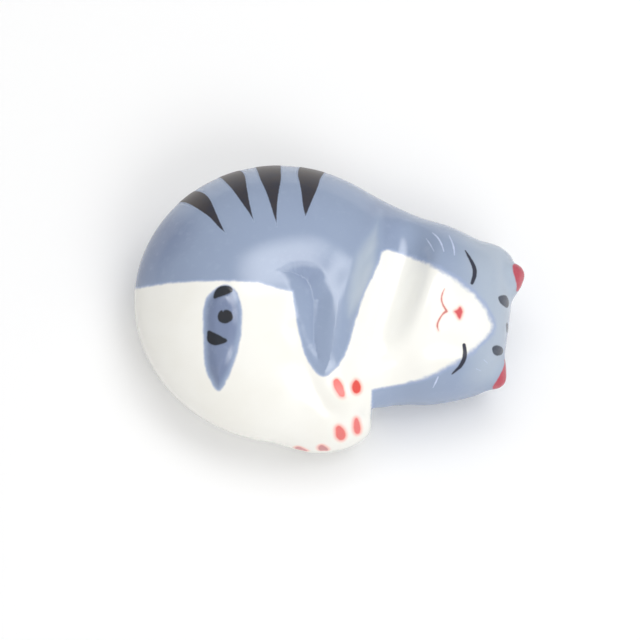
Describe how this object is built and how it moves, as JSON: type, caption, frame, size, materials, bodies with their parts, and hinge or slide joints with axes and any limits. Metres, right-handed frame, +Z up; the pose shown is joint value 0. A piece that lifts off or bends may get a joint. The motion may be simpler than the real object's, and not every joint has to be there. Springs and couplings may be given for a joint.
{
  "type": "chopstick rest",
  "caption": "Sleeping cat curled on its side, in glossy painted porcelain, with a saddle between body and head that holds the tips of a pair of chopsticks off the table.",
  "frame": {"origin": "centre of the bounding box on the table plane, under the middle of the rest", "axes": "+X from the body to the cat's forehead, +Y to the cat's back, away from its paws, +Z up from the table"},
  "size_m": [0.0604, 0.0473, 0.0233],
  "materials": {
    "white_porcelain": "clear glossy glaze over white porcelain",
    "blue_glaze": "glossy grey-blue glaze, darker where it pools",
    "dark_enamel": "dark brown-black brushed underglaze, glossy",
    "grey_enamel": "grey-black brushed underglaze, glossy",
    "red_enamel": "coral red enamel with a soft edge, glossy",
    "pale_enamel": "pale blue-white enamel line, glossy"
  },
  "bodies": {
    "root": {"body": "white_porcelain", "head": "white_porcelain", "right_ear": "blue_glaze", "left_ear": "blue_glaze", "foreleg": "blue_glaze", "forepaw": "white_porcelain", "hind_paw": "white_porcelain", "tail": "blue_glaze", "back_glaze": "blue_glaze", "head_glaze": "blue_glaze", "face_glaze": "white_porcelain", "back_stripe_1": "dark_enamel", "back_stripe_2": "dark_enamel", "back_stripe_3": "dark_enamel", "back_stripe_4": "dark_enamel", "tail_band_1": "dark_enamel", "tail_band_2": "dark_enamel", "tail_band_3": "dark_enamel", "right_eye_line": "dark_enamel", "left_eye_line": "dark_enamel", "nose": "red_enamel", "mouth_line": "red_enamel", "forehead_mark_1": "grey_enamel", "forehead_mark_2": "grey_enamel", "forehead_mark_3": "grey_enamel", "right_ear_enamel": "red_enamel", "left_ear_enamel": "red_enamel", "right_whiskers": "pale_enamel", "left_whiskers": "pale_enamel", "forepaw_toes": "red_enamel", "hind_paw_toes": "red_enamel", "side_paw_toes": "red_enamel"}
  },
  "joints": []
}
